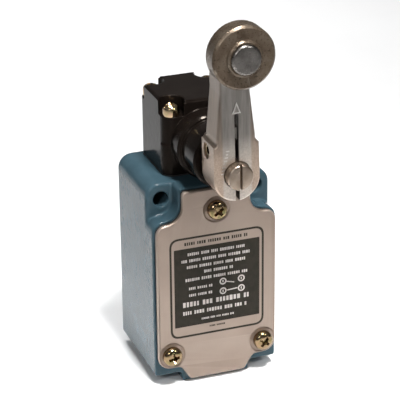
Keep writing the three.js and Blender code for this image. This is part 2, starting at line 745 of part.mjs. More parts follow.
function rollerPinGeometry() {
  const headBack = HUB_RING_FRONT - 0.1;
  const inner = LEVER_FRONT + SHEET;
  return turn(
    [
      [0, PIN_FRONT],
      [PIN_HEAD_RADIUS - 0.55, PIN_FRONT],
      [PIN_HEAD_RADIUS, PIN_FRONT + 0.55],
      [PIN_HEAD_RADIUS, headBack],
      [PIN_RADIUS, headBack],
      [PIN_RADIUS, inner + 0.1],
      [3.1, inner + 0.1],
      [2.9, inner + 0.9],
      [0, inner + 1.2],
    ],
    32,
  );
}

function addLever() {
  const lever = new THREE.Group();
  lever.position.z = SHAFT_Z;
  lever.rotation.y = LEVER_TILT;
  limitSwitch.add(lever);
  add("lever_arm", leverGeometry(), STEEL(), lever);

  const clampScrew = add("clamp_screw", clampScrewGeometry(), ZINC_YELLOW(), lever);
  clampScrew.position.set(0, CLAMP.y, CLAMP.z);

  const atRoller = new THREE.Group();
  atRoller.position.z = LEVER_RADIUS;
  lever.add(atRoller);
  add("roller", rollerGeometry(), SINTERED(), atRoller);
  add("roller_pin", rollerPinGeometry(), STEEL(), atRoller);
  const spacer = ring(PIN_RADIUS + 0.15, 4.5, ROLLER_BACK + 0.1, LEVER_FRONT - 0.1, 32);
  add("roller_spacer", spacer, STEEL(), atRoller);
}

// ---- plunger ----

function addPlunger() {
  const onLine = new THREE.Group();
  onLine.position.y = HEAD_CENTRE_Y;
  limitSwitch.add(onLine);

  const plunger = turnUpright([
    [0, PLUNGER_BOTTOM],
    [PLUNGER_RADIUS - 0.4, PLUNGER_BOTTOM],
    [PLUNGER_RADIUS, PLUNGER_BOTTOM + 0.4],
    [PLUNGER_RADIUS, PLUNGER_TOP - 1.6],
    [3.7, PLUNGER_TOP - 1.6],
    [3.7, PLUNGER_TOP - 0.5],
    [3.2, PLUNGER_TOP],
    [0, PLUNGER_TOP],
  ]);
  add("plunger", plunger, STEEL(), onLine);

  const guideTop = 30.6;
  const guide = turnUpright([
    [PLUNGER_RADIUS + 0.2, TOP_POCKET_TOP - 2],
    [GUIDE_RADIUS, TOP_POCKET_TOP - 2],
    [GUIDE_RADIUS, guideTop],
    [3.9, guideTop],
    [3.9, guideTop - 1.8],
    [PLUNGER_RADIUS + 0.2, guideTop - 1.8],
  ]);
  add("plunger_guide", guide, BRONZE(), onLine);

  const seal = turnUpright([
    [PLUNGER_RADIUS + 0.1, guideTop - 1.7],
    [3.8, guideTop - 1.7],
    [3.8, guideTop - 0.3],
    [PLUNGER_RADIUS + 0.1, guideTop - 0.3],
  ]);
  add("plunger_seal", seal, RUBBER(), onLine);

  const spring = add("plunger_spring", coil(2.9, 0.3, 3, 1).rotateX(Math.PI / 2), STEEL(), onLine);
  spring.position.z = 30.75;
}

// ---- basic switch ----

function caseGeometry() {
  const outer = block(
    [-CASE_HALF_WIDTH, CASE_HALF_WIDTH],
    [CASE_FRONT, CASE_BACK],
    [CASE_BOTTOM, CASE_TOP],
  );
  const roomHalfWidth = CONTACT_X + 2.3;
  const room = block(
    [-roomHalfWidth, roomHalfWidth],
    [CASE_FRONT - 1, CASE_BACK - CASE_WALL],
    [CASE_BOTTOM + 4.5, CASE_TOP - CASE_WALL],
  );
  const rebate = block(
    [-CASE_HALF_WIDTH + 1.2, CASE_HALF_WIDTH - 1.2],
    [CASE_FRONT - 1, CASE_FRONT + FRONT_THICKNESS + 0.05],
    [CASE_BOTTOM + 1.2, CASE_TOP - 1.2],
  );
  const tools = [room, rebate, post(2.4, CASE_TOP - 3, CASE_TOP + 1).translate(0, HEAD_CENTRE_Y, 0)];
  for (const side of [-1, 1]) {
    const hole = rod(TAP_RADIUS, CASE_FRONT - 1, CASE_BACK + 1);
    tools.push(hole.translate(side * SWITCH_SCREW.x, 0, SWITCH_SCREW.z[side]));
  }
  return cut(outer, ...tools);
}

function frontCoverGeometry() {
  const panel = block(
    [-CASE_HALF_WIDTH + 1.4, CASE_HALF_WIDTH - 1.4],
    [CASE_FRONT, CASE_FRONT + FRONT_THICKNESS],
    [CASE_BOTTOM + 1.4, CASE_TOP - 1.4],
  );
  const barrier = block([-0.6, 0.6], [CASE_FRONT - 5, CASE_FRONT + 1], [CASE_BOTTOM + 1.4, CASE_TOP - 1.4]);
  const tools = [];
  for (const side of [-1, 1]) {
    const hole = rod(TAP_RADIUS, CASE_FRONT - 1, CASE_FRONT + 4);
    tools.push(hole.translate(side * SWITCH_SCREW.x, 0, SWITCH_SCREW.z[side]));
    for (const { level, rise } of CONTACT_PAIRS) {
      const x = side * CONTACT_X;
      const screwHole = rod(1.4, CASE_FRONT - 1, CASE_FRONT + 4);
      tools.push(block([x - 2, x + 2], [CASE_FRONT - 1, CASE_FRONT + 4], [level - 0.7, level + 0.7]));
      tools.push(screwHole.translate(x, 0, level + rise * TERMINAL_SCREW_RISE));
    }
  }
  return cut(join(panel, barrier), ...tools);
}

// A strip from the fixed contact to the front, where it turns up or down into a screw plate.
function terminalGeometry(rise) {
  const plateFront = CASE_FRONT - STRIP - 0.2;
  const strip = block([-1.8, 1.8], [plateFront, CONTACT_Y + 2], [-STRIP / 2, STRIP / 2]);
  const plateSpan = rise > 0 ? [-STRIP / 2, 6.6] : [-6.6, STRIP / 2];
  const screwPlate = block([-2.1, 2.1], [plateFront, plateFront + STRIP], plateSpan);
  const contact = post(1.3, rise > 0 ? -0.9 : 0, rise > 0 ? 0 : 0.9, 16).translate(0, CONTACT_Y, 0);
  const hole = rod(1.3, plateFront - 1, plateFront + 2).translate(0, 0, rise * TERMINAL_SCREW_RISE);
  return cut(join(strip, screwPlate, contact), hole);
}

function carrierGeometry() {
  const stem = turnUpright([
    [0, -0.2],
    [2, -0.2],
    [2, CASE_TOP + 0.9],
    [1.5, CASE_TOP + 1.4],
    [0, CASE_TOP + 1.4],
  ]).translate(0, HEAD_CENTRE_Y, 0);
  const holder = block([-2.6, 2.6], [-17, -9.5], [1, 9]);
  const window = block([-3, 3], [-15.6, -12.4], [4.2, 5.9]);
  return cut(join(stem, holder), window);
}

function bridgeGeometry() {
  const bar = block([-CONTACT_X - 1.4, CONTACT_X + 1.4], [CONTACT_Y - 1.4, CONTACT_Y + 1.4], [4.5, 5.5]);
  const buttons = [];
  for (const side of [-1, 1]) {
    buttons.push(post(1.2, 4.1, 5.9, 16).translate(side * CONTACT_X, CONTACT_Y, 0));
  }
  return join(bar, ...buttons);
}

function addBasicSwitch() {
  add("switch_case", caseGeometry(), PHENOLIC());
  add("switch_front_cover", frontCoverGeometry(), PHENOLIC());
  add("contact_carrier", carrierGeometry(), NYLON());
  add("contact_bridge", bridgeGeometry(), COPPER());

  const spring = add("carrier_spring", coil(1.3, 0.22, 2, 0.85).rotateX(Math.PI / 2), STEEL());
  spring.position.set(0, HEAD_CENTRE_Y, -2.2);

  for (const { name, level, rise } of CONTACT_PAIRS) {
    for (const [sideName, side] of [["left", -1], ["right", 1]]) {
      const terminal = add(`terminal_${name}_${sideName}`, terminalGeometry(rise), BRASS());
      terminal.position.set(side * CONTACT_X, 0, level);
      const screw = add(`terminal_screw_${name}_${sideName}`, panHeadScrew(2, 1.5, 1.1, 2.4), BRASS());
      screw.position.set(side * CONTACT_X, CASE_FRONT - STRIP - 0.25, level + rise * TERMINAL_SCREW_RISE);
    }
  }

  for (const [name, side] of [["lower", -1], ["upper", 1]]) {
    const screw = add(`switch_screw_${name}`, panHeadScrew(1.8, 1.6, SCREW_RADIUS, 21.5), ZINC_YELLOW());
    screw.position.set(side * SWITCH_SCREW.x, CASE_FRONT - 0.05, SWITCH_SCREW.z[side]);
  }
}

addHousing();
addHead();
addShaft();
addLever();
addPlunger();
addBasicSwitch();

export default limitSwitch;
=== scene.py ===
"""The looks of a heavy-duty limit switch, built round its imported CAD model. Blender 4.5, metres.

The frame's axes: +X is right seen from the front, -Y is the front, +Z is up, and the origin is the
centre of the rear mounting face. Lengths below are in millimetres, and MM turns them into metres.
"""

import json
import math
import random

import bmesh
import bpy
from mathutils import Matrix, Vector

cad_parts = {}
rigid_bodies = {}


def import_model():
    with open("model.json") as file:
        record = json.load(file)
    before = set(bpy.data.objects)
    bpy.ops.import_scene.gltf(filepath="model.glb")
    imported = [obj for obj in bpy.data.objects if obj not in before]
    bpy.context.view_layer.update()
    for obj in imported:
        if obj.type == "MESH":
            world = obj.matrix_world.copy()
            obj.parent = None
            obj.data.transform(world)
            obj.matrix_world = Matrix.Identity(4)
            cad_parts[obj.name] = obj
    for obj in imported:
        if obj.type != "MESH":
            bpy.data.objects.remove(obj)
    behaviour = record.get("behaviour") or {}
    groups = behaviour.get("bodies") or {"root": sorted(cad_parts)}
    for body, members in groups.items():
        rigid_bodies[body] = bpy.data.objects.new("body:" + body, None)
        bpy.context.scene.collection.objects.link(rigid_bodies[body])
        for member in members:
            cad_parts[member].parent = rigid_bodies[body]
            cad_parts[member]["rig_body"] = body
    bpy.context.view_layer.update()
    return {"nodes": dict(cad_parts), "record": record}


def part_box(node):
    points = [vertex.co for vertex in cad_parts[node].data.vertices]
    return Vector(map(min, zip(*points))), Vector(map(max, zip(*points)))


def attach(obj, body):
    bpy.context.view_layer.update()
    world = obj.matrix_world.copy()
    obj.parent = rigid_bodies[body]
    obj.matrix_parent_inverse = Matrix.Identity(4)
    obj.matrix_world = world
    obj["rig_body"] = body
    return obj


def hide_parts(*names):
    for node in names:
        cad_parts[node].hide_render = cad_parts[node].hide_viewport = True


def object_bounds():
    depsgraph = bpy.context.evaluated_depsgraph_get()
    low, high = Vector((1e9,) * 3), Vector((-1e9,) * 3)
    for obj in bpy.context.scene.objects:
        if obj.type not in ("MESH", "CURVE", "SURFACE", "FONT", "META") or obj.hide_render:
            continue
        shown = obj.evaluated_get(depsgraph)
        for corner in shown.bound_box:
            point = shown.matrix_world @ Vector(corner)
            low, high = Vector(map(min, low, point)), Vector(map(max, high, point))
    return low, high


MM = 0.001

# The camera, fitted to the photo
CAMERA_AIM = (-5.3, -35.0, 27.35)
CAMERA_AZIMUTH = -20.0
CAMERA_ELEVATION = 23.87
CAMERA_DISTANCE = 561.8
CAMERA_ROLL = -0.658
CAMERA_LENS = 168.9

# Places that several pieces share
SHAFT_Z = 41.65
SLIT_TOP = 18.7
LEVER_TILT = -1.0
LEVER_RADIUS = 38.1
COVER_FRONT = -35.0
COVER_SCREWS = {"top": (0, 23.45), "left": (-15, -23.75), "right": (15, -23.75)}
DIMPLE_DEPTH = 0.35
HEAD_SCREW_SEAT = 50.35
LEVER_FACE = 52.4

FRONT = Matrix.Rotation(math.radians(90), 4, "X")

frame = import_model()


# ---- meshes ----


def at(x, y, z):
    return Matrix.Translation(Vector((x, y, z)) * MM)


def lever_place(y, along=0.0):
    """The lever's own frame, at a height along it from the shaft's axis, looking to the front."""
    tilt = Matrix.Rotation(math.radians(LEVER_TILT), 4, "Y")
    return at(0, 0, SHAFT_Z) @ tilt @ at(0, y, along)


def fillet(points, radius, steps=4):
    """Rounds every corner of a closed outline of (u, v) points."""
    rounded = []
    count = len(points)
    for i in range(count):
        before, corner, after = (Vector(points[(i + k) % count]) for k in (-1, 0, 1))
        inward = before - corner
        outward = after - corner
        turn = inward.angle(outward, math.pi)
        reach = min(radius / math.tan(turn / 2), inward.length * 0.49, outward.length * 0.49)
        start = corner + inward.normalized() * reach
        end = corner + outward.normalized() * reach
        for k in range(steps + 1):
            t = k / steps
            rounded.append(start * (1 - t) ** 2 + corner * 2 * t * (1 - t) + end * t**2)
    return rounded


def new_piece(name, bm, place=None):
    """Turns a bmesh in millimetres into an object in the row frame, with outward faces."""
    bmesh.ops.recalc_face_normals(bm, faces=bm.faces)
    mesh = bpy.data.meshes.new(name)
    bm.to_mesh(mesh)
    bm.free()
    mesh.transform(Matrix.Scale(MM, 4))
    if place is not None:
        mesh.transform(place)
    piece = bpy.data.objects.new(name, mesh)
    bpy.context.scene.collection.objects.link(piece)
    return piece


def lathe(name, profile, place=None, segments=96):
    """Turns a profile of (radius, height) points about Z. A profile off the axis makes a ring."""
    bm = bmesh.new()
    rings = []
    for radius, height in profile:
        if radius < 1e-6:
            rings.append([bm.verts.new((0, 0, height))])
            continue
        angles = (2 * math.pi * i / segments for i in range(segments))
        rings.append([bm.verts.new((radius * math.cos(a), radius * math.sin(a), height)) for a in angles])
    pairs = list(zip(rings, rings[1:]))
    if len(rings[0]) > 1 and len(rings[-1]) > 1:
        pairs.append((rings[-1], rings[0]))
    for lower, upper in pairs:
        for i in range(segments):
            j = (i + 1) % segments
            below = [lower[i % len(lower)], lower[j % len(lower)]]
            above = [upper[j % len(upper)], upper[i % len(upper)]]
            bm.faces.new(list(dict.fromkeys(below + above)))
    return new_piece(name, bm, place)


def prism(name, outline, bottom, top, place=None, hole=None):
    """Extrudes a closed outline of (u, v) points along Z. A hole has as many points as the outline."""
    bm = bmesh.new()
    loops = [outline] + ([hole] if hole else [])
    walls = []
    for loop in loops:
        low = [bm.verts.new((u, v, bottom)) for u, v in loop]
        high = [bm.verts.new((u, v, top)) for u, v in loop]
        walls.append((low, high))
        count = len(loop)
        for i in range(count):
            j = (i + 1) % count
            bm.faces.new((low[i], low[j], high[j], high[i]))
    if not hole:
        bm.faces.new(walls[0][0])
        bm.faces.new(walls[0][1])
    else:
        count = len(outline)
        for level in (0, 1):
            outer, inner = walls[0][level], walls[1][level]
            for i in range(count):
                j = (i + 1) % count
                bm.faces.new((outer[i], outer[j], inner[j], inner[i]))
    return new_piece(name, bm, place)


def box(name, x, y, z, place=None):
    outline = [(x[0], y[0]), (x[1], y[0]), (x[1], y[1]), (x[0], y[1])]
    return prism(name, outline, z[0], z[1], place)


def rectangle(half_width, bottom, top, radius, steps=6):
    corners = [(-half_width, bottom), (half_width, bottom), (half_width, top), (-half_width, top)]
    return fillet(corners, radius, steps)


def apply_modifiers(piece):
    depsgraph = bpy.context.evaluated_depsgraph_get()
    mesh = bpy.data.meshes.new_from_object(piece.evaluated_get(depsgraph))
    piece.modifiers.clear()
    piece.data = mesh


def combine(piece, tools, operation="DIFFERENCE"):
    """Cuts the tools from the piece, or adds them to it, and removes them."""
    for tool in tools:
        modifier = piece.modifiers.new("Combine", "BOOLEAN")
        modifier.operation = operation
        modifier.object = tool
        modifier.solver = "EXACT"
    apply_modifiers(piece)
    for tool in tools:
        bpy.data.objects.remove(tool)
    return piece


def bevel_edges(piece, width, segments, sharper_than):
    """Rounds the edges that are sharper than an angle. The width is in millimetres."""
    bm = bmesh.new()
    bm.from_mesh(piece.data)
    bmesh.ops.remove_doubles(bm, verts=bm.verts, dist=0.001 * MM)
    chosen = []
    for edge in bm.edges:
        if len(edge.link_faces) == 2 and edge.calc_face_angle(0) >= math.radians(sharper_than):
            chosen.append(edge)
    bmesh.ops.bevel(
        bm,
        geom=chosen,
        offset=width * MM,
        segments=segments,
        profile=0.5,
        affect="EDGES",
        loop_slide=False,
        clamp_overlap=False,
    )
    bmesh.ops.remove_doubles(bm, verts=bm.verts, dist=0.002 * MM)
    bm.to_mesh(piece.data)
    bm.free()
    return piece


def shade(piece, angle=40):
    """Smooth shading that keeps flat faces flat and edges sharper than the angle crisp."""
    piece.data.shade_smooth()
    piece.data.set_sharp_from_angle(angle=math.radians(angle))
    weighted = piece.modifiers.new("Weighted normals", "WEIGHTED_NORMAL")
    weighted.keep_sharp = True
    weighted.weight = 80


def copy_of(node, name):
    """An editable copy of a CAD node's mesh."""
    mesh = frame["nodes"][node].data.copy()
    mesh.materials.clear()
    piece = bpy.data.objects.new(name, mesh)
    bpy.context.scene.collection.objects.link(piece)
    return piece


def cast_copy(node, name, voxel, rounds, keep):
    """A copy of a CAD node with its edges and corners rounded, as a casting's or a forging's are."""
    piece = copy_of(node, name)
    piece.modifiers.new("Weld", "WELD").merge_threshold = 0.001 * MM
    remesh = piece.modifiers.new("Remesh", "REMESH")
    remesh.mode = "VOXEL"
    remesh.voxel_size = voxel * MM
    smooth = piece.modifiers.new("Smooth", "SMOOTH")
    smooth.factor = 0.5
    smooth.iterations = rounds
    piece.modifiers.new("Decimate", "DECIMATE").ratio = keep
    apply_modifiers(piece)
    return piece


def join_pieces(name, parts):
    """Puts the meshes of several parts into the first one."""
    bm = bmesh.new()
    for part in parts:
        bm.from_mesh(part.data)
    bm.to_mesh(parts[0].data)
    bm.free()
    parts[0].name = name
    for part in parts[1:]:
        bpy.data.objects.remove(part)


def place_piece(piece, material, slot, *nodes, body=None):
    """Gives the piece its material and body, and hides the CAD nodes it stands for."""
    piece.data.materials.clear()
    piece.data.materials.append(material)
    shade(piece)
    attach(piece, body or frame["nodes"][nodes[0]]["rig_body"])
    if nodes:
        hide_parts(*nodes)
    return piece


# ---- material nodes ----


class Surface:
    """One Principled material and short ways to wire its patterns, all in the frame's own coordinates."""

    def __init__(self, name, **values):
        self.material = bpy.data.materials.new(name)
        self.material.use_nodes = True
        self.tree = self.material.node_tree
        self.shader = self.tree.nodes["Principled BSDF"]
        for socket, value in values.items():
            self.shader.inputs[socket.replace("_", " ")].default_value = value
        self.place = self.add("ShaderNodeTexCoord").outputs["Object"]

    def add(self, kind, **settings):
        node = self.tree.nodes.new(kind)
        for key, value in settings.items():
            setattr(node, key, value)
        return node

    def feed(self, node, socket, source):
        if isinstance(source, bpy.types.NodeSocket):
            self.tree.links.new(source, node.inputs[socket])
        else:
            node.inputs[socket].default_value = source

    def stretched(self, x, y, z):
        """The frame's coordinates scaled along each axis, which draws a pattern out along the smallest."""
        node = self.add("ShaderNodeMapping")
        self.feed(node, "Vector", self.place)
        self.feed(node, "Scale", (x, y, z))
        return node.outputs["Vector"]

    def noise(self, size, detail=4.0, vector=None):
        """Cloudy noise whose features are about `size` millimetres."""
        node = self.add("ShaderNodeTexNoise")
        self.feed(node, "Vector", vector or self.place)
        self.feed(node, "Scale", 1 / (size * MM))
        self.feed(node, "Detail", detail)
        return node.outputs["Fac"]

    def cells(self, size):
        node = self.add("ShaderNodeTexVoronoi")
        self.feed(node, "Vector", self.place)
        self.feed(node, "Scale", 1 / (size * MM))
        return node.outputs["Distance"]

    def spread(self, value, low, high, start=0.3, end=0.7):
        """Maps a pattern's start..end to low..high."""
        node = self.add("ShaderNodeMapRange")
        self.feed(node, "Value", value)
        self.feed(node, "From Min", start)
        self.feed(node, "From Max", end)
        self.feed(node, "To Min", low)
        self.feed(node, "To Max", high)
        return node.outputs["Result"]

    def ramp(self, value, *stops):
        """A colour ramp of (position, colour) stops."""
        node = self.add("ShaderNodeValToRGB")
        elements = node.color_ramp.elements
        for _ in range(len(stops) - 2):
            elements.new(0.5)
        for element, (position, colour) in zip(elements, stops):
            element.position = position
            element.color = (*colour, 1)
        self.feed(node, "Fac", value)
        return node.outputs["Color"]

    def blend(self, amount, first, second, mode="MIX"):
        node = self.add("ShaderNodeMix", data_type="RGBA", blend_type=mode)
        self.feed(node, "Factor", amount)
        for socket, source in ((6, first), (7, second)):
            if isinstance(source, bpy.types.NodeSocket):
                self.tree.links.new(source, node.inputs[socket])
            else:
                node.inputs[socket].default_value = (*source, 1)
        return node.outputs[2]

    def sum(self, first, second, weight=1.0):
        """first + second * weight."""
        node = self.add("ShaderNodeMath", operation="MULTIPLY_ADD")
        self.feed(node, 0, second)
        self.feed(node, 1, weight)
        self.feed(node, 2, first)
        return node.outputs[0]

    def product(self, first, second):
        node = self.add("ShaderNodeMath", operation="MULTIPLY")
        self.feed(node, 0, first)
        self.feed(node, 1, second)
        return node.outputs[0]

    def absolute(self, value):
        node = self.add("ShaderNodeMath", operation="ABSOLUTE")
        self.feed(node, 0, value)
        return node.outputs[0]

    def across_lever(self):
        """How far a point is to the right of the lever's centre line, in millimetres."""
        tilt = math.radians(LEVER_TILT)
        node = self.add("ShaderNodeVectorMath", operation="DOT_PRODUCT")
        self.feed(node, 0, self.place)
        self.feed(node, 1, (math.cos(tilt) / MM, 0, -math.sin(tilt) / MM))
        return self.sum(node.outputs["Value"], SHAFT_Z * math.sin(tilt))

    def height(self):
        """How high a point is, in millimetres."""
        split = self.add("ShaderNodeSeparateXYZ")
        self.feed(split, "Vector", self.place)
        scaled = self.add("ShaderNodeMath", operation="DIVIDE")
        self.feed(scaled, 0, split.outputs["Z"])
        self.feed(scaled, 1, MM)
        return scaled.outputs[0]

    def edges(self, start=0.52, end=0.58):
        """1 on worn outer edges, 0 on flat faces."""
        return self.spread(self.add("ShaderNodeNewGeometry").outputs["Pointiness"], 0.0, 1.0, start, end)

    def colour(self, source):
        self.tree.links.new(source, self.shader.inputs["Base Color"])

    def roughness(self, source):
        self.tree.links.new(source, self.shader.inputs["Roughness"])

    def bump(self, height, depth, strength=1.0):
        """Relief `depth` millimetres deep."""
        node = self.add("ShaderNodeBump")
        self.feed(node, "Height", height)
        self.feed(node, "Distance", depth * MM)
        self.feed(node, "Strength", strength)
        self.tree.links.new(node.outputs["Normal"], self.shader.inputs["Normal"])


def enamel(name, dark, base, roughness, specular, tint):
    """Baked enamel on a die casting: orange peel and faint blotches."""
    surface = Surface(name, Specular_IOR_Level=specular, Specular_Tint=(*tint, 1))
    surface.colour(surface.ramp(surface.noise(9, 5), (0.35, dark), (0.65, base)))
    surface.roughness(surface.spread(surface.noise(2.5, 6), roughness - 0.05, roughness + 0.07))
    peel = surface.sum(surface.noise(1.6, 2), surface.noise(0.35, 3), 0.25)
    surface.bump(peel, 0.035)
    return surface.material


def lacquered_metal(name, dark, light, worn):
    """Grained sheet metal under clear lacquer, brushed lightly from side to side."""
    surface = Surface(name, Metallic=0.75, Coat_Weight=0.15, Coat_Roughness=0.2)
    grain = surface.noise(0.35, 6, surface.stretched(0.25, 1, 1))
    patches = surface.sum(surface.noise(14, 4), grain, 0.5)
    tone = surface.ramp(patches, (0.55, dark), (0.95, light))
    surface.colour(surface.blend(surface.edges(0.51, 0.56), tone, worn))
    surface.roughness(surface.spread(grain, 0.38, 0.56))
    surface.bump(surface.sum(grain, surface.noise(0.12, 2), 0.6), 0.012)
    return surface.material


def zinc_plate(name, tones, roughness):
    """Chromated zinc: tones that drift with the film's thickness, and fine handling scratches."""
    surface = Surface(name, Metallic=1.0)
    film = surface.sum(surface.noise(1.4, 4), surface.noise(5, 2), 0.4)
    count = len(tones)
    surface.colour(surface.ramp(film, *((0.5 + 0.4 * i / (count - 1), tone) for i, tone in enumerate(tones))))
    scratches = surface.noise(0.5, 5, surface.stretched(1, 0.15, 1))
    surface.roughness(surface.spread(scratches, roughness - 0.07, roughness + 0.12))
    surface.bump(scratches, 0.012)
    return surface.material


def turned_steel(name, dark, light, roughness, lines=0.3):
    """Machined, plated steel with fine turning lines and a little staining."""
    surface = Surface(name, Metallic=1.0)
    surface.colour(surface.ramp(surface.noise(3.5, 6), (0.35, dark), (0.65, light)))
    fine = surface.noise(lines, 4)
    surface.roughness(surface.spread(surface.noise(1.2, 5), roughness - 0.05, roughness + 0.12))
    surface.bump(fine, 0.01)
    return surface.material


def lever_steel(name):
    """Plated lever: a brighter, cast-looking hub, a greyer arm with drawn streaks, outer sides with a browner
    tint and painted shade, and painted shade in the slit.
    """
    surface = Surface(name, Metallic=0.85)
    streaks = surface.noise(1.1, 6, surface.stretched(1, 1, 0.09))
    arm = surface.ramp(streaks, (0.35, (0.215, 0.198, 0.182)), (0.7, (0.335, 0.312, 0.285)))
    speckle = surface.sum(surface.noise(0.5, 5), surface.noise(6, 3), 0.5)
    hub = surface.ramp(speckle, (0.5, (0.42, 0.37, 0.325)), (0.95, (0.60, 0.535, 0.475)))
    rise = surface.sum(surface.height(), surface.noise(2.5, 3), 2.5)
    tone = surface.blend(surface.spread(rise, 0.0, 1.0, 47, 55), hub, arm)
    off_centre = surface.absolute(surface.across_lever())
    # Painted shade with a browner tint: the lever's outer sides, away from its centre line, are multiplied
    # darker and browner.
    side = surface.spread(off_centre, 0.0, 0.75, 4.1, 4.7)
    browned_and_shaded = surface.blend(side, tone, surface.blend(1.0, tone, (0.78, 0.64, 0.54), "MULTIPLY"))
    # Painted shade: the slit's walls, up to the slit's top, are coloured near black as if in shadow.
    slit_top = SHAFT_Z + SLIT_TOP
    below_slit_top = surface.spread(surface.height(), 1.0, 0.0, slit_top, slit_top + 0.3)
    painted_slit_shade = surface.spread(off_centre, 1.0, 0.0, 0.5, 0.72)
    surface.colour(surface.blend(surface.product(painted_slit_shade, below_slit_top), browned_and_shaded, (0.02, 0.016, 0.013)))
    surface.roughness(surface.spread(streaks, 0.28, 0.42))
    surface.bump(surface.sum(streaks, surface.noise(0.3, 4), 0.8), 0.02)
    return surface.material


def sintered(name):
    """Oil-filled sintered steel: open pores, brown oil stains and burnished edges."""
    surface = Surface(name, Metallic=0.65)
    stains = surface.sum(surface.noise(4, 5), surface.noise(0.6, 4), 0.4)
    tone = surface.ramp(
        stains, (0.45, (0.064, 0.042, 0.027)), (0.7, (0.114, 0.084, 0.058)), (0.95, (0.160, 0.127, 0.095))
    )
    surface.colour(surface.blend(surface.edges(0.515, 0.57), tone, (0.22, 0.18, 0.14)))
    surface.roughness(surface.spread(surface.noise(0.8, 5), 0.24, 0.38))
    pores = surface.spread(surface.cells(0.35), 0.0, 1.0, 0.1, 0.35)
    surface.bump(surface.sum(pores, surface.noise(0.2, 3), 0.5), 0.02)
    return surface.material


def dull(name, dark, light, roughness, grain, depth, metallic=0.0, specular=0.5):
    """A plain moulded, cast or drawn surface with its own grain size, in millimetres."""
    surface = Surface(name, Metallic=metallic, Specular_IOR_Level=specular)
    surface.colour(surface.ramp(surface.noise(grain * 6, 5), (0.35, dark), (0.65, light)))
    texture = surface.noise(grain, 5)
    surface.roughness(surface.spread(texture, roughness - 0.06, roughness + 0.1))
    surface.bump(texture, depth)
    return surface.material


def ink(name, dark, light, roughness=0.5):
    """Etched and filled print, slightly uneven."""
    return dull(name, dark, light, roughness, 0.3, 0.004, specular=0.15)


MATERIALS = {
    "housing_paint": enamel(
        "Teal enamel", (0.031, 0.060, 0.076), (0.039, 0.073, 0.092), 0.12, 0.17, (1, 1, 1)
    ),
    "head_paint": enamel(
        "Black enamel", (0.0060, 0.0042, 0.0034), (0.0084, 0.0062, 0.0050), 0.12, 0.09, (1, 0.86, 0.74)
    ),
    "cover_metal": lacquered_metal(
        "Cover metal", (0.228, 0.174, 0.139), (0.276, 0.215, 0.174), (0.44, 0.37, 0.32)
    ),
    "yellow_zinc": zinc_plate(
        "Yellow zinc", ((0.12, 0.11, 0.05), (0.24, 0.18, 0.09), (0.29, 0.19, 0.12), (0.17, 0.17, 0.09)), 0.14
    ),
    "bright_zinc": zinc_plate(
        "Bright yellow zinc",
        ((0.24, 0.21, 0.10), (0.48, 0.38, 0.21), (0.52, 0.36, 0.24), (0.34, 0.33, 0.18)),
        0.12,
    ),
    "green_zinc": zinc_plate("Green zinc", ((0.04, 0.16, 0.06), (0.08, 0.26, 0.10), (0.06, 0.20, 0.12)), 0.3),
    "plated_steel": turned_steel("Plated steel", (0.34, 0.315, 0.29), (0.48, 0.45, 0.42), 0.3),
    "shaft_steel": turned_steel("Shaft steel", (0.27, 0.21, 0.16), (0.38, 0.31, 0.25), 0.3),
    "pin_steel": turned_steel("Pin steel", (0.13, 0.12, 0.11), (0.23, 0.215, 0.20), 0.26),
    "lever_steel": lever_steel("Lever steel"),
    # A bright steel whose light colour is a painted highlight, for the raised pointer and the ticks.
    "painted_highlight_steel": turned_steel("Steel with painted highlight", (0.55, 0.52, 0.49), (0.72, 0.69, 0.66), 0.3),
    "sintered_steel": sintered("Sintered steel"),
    "spring_steel": turned_steel("Spring wire", (0.38, 0.37, 0.36), (0.50, 0.49, 0.48), 0.25, 0.15),
    "rubber": dull("Nitrile rubber", (0.010, 0.010, 0.010), (0.022, 0.021, 0.020), 0.62, 0.25, 0.02),
    "bronze": dull("Sintered bronze", (0.30, 0.17, 0.07), (0.46, 0.28, 0.13), 0.42, 0.3, 0.02, 1.0),
    "brass": dull("Drawn brass", (0.58, 0.42, 0.17), (0.70, 0.54, 0.26), 0.28, 0.4, 0.008, 1.0),
    "contact_copper": dull("Contact copper", (0.50, 0.24, 0.13), (0.64, 0.35, 0.22), 0.3, 0.4, 0.008, 1.0),
    "phenolic": dull("Phenolic", (0.016, 0.012, 0.010), (0.034, 0.026, 0.021), 0.4, 0.2, 0.012),
    "nylon": dull("Nylon", (0.58, 0.54, 0.44), (0.70, 0.66, 0.56), 0.42, 0.5, 0.01),
    "dark_ink": ink("Dark ink", (0.016, 0.0132, 0.0092), (0.022, 0.0182, 0.013)),
    "light_ink": ink("Light ink", (0.40, 0.36, 0.33), (0.52, 0.48, 0.45)),
}


# ---- screws ----


def cross_recess(radius, depth, top, place):
    """Two crossed tapering blades and a cone that cut a screw's driving recess."""
    blades = []
    for turn in (0, 90):
        outline = [(-radius, top + 1), (-radius, top), (-radius * 0.35, top - depth)]
        outline += [(radius * 0.35, top - depth), (radius, top), (radius, top + 1)]
        blade = prism("Blade", outline, -0.45, 0.45)
        blade.data.transform(place @ Matrix.Rotation(math.radians(turn), 4, "Z") @ FRONT)
        blades.append(blade)
    cone = [(0, top + 1), (radius * 0.5, top + 1), (radius * 0.5, top)]
    cone += [(radius * 0.3, top - depth), (0, top - depth)]
    blades.append(lathe("Cone", cone, place, 24))
    return blades


def pan_head_screw(name, place, radius, height, shank, length, spin, skirt):
    """A pan-head screw along the place's Z, its head above 0 and a skirt below. Spin turns its recess."""
    profile = [
        (0, -length),
        (shank - 0.4, -length),
        (shank, -length + 0.6),
        (shank, -skirt),
        (radius - 0.15, -skirt),
        (radius, -skirt + 0.15),
        (radius, height * 0.38),
        (radius * 0.97, height * 0.52),
        (radius * 0.88, height * 0.72),
        (radius * 0.72, height * 0.87),
        (radius * 0.5, height * 0.96),
        (radius * 0.25, height),
        (0, height),
    ]
    turned = place @ Matrix.Rotation(math.radians(spin), 4, "Z")
    screw = lathe(name, profile, turned, 64)
    combine(screw, cross_recess(radius * 0.62, height * 0.75, height, turned))
    return bevel_edges(screw, 0.07, 2, 40)


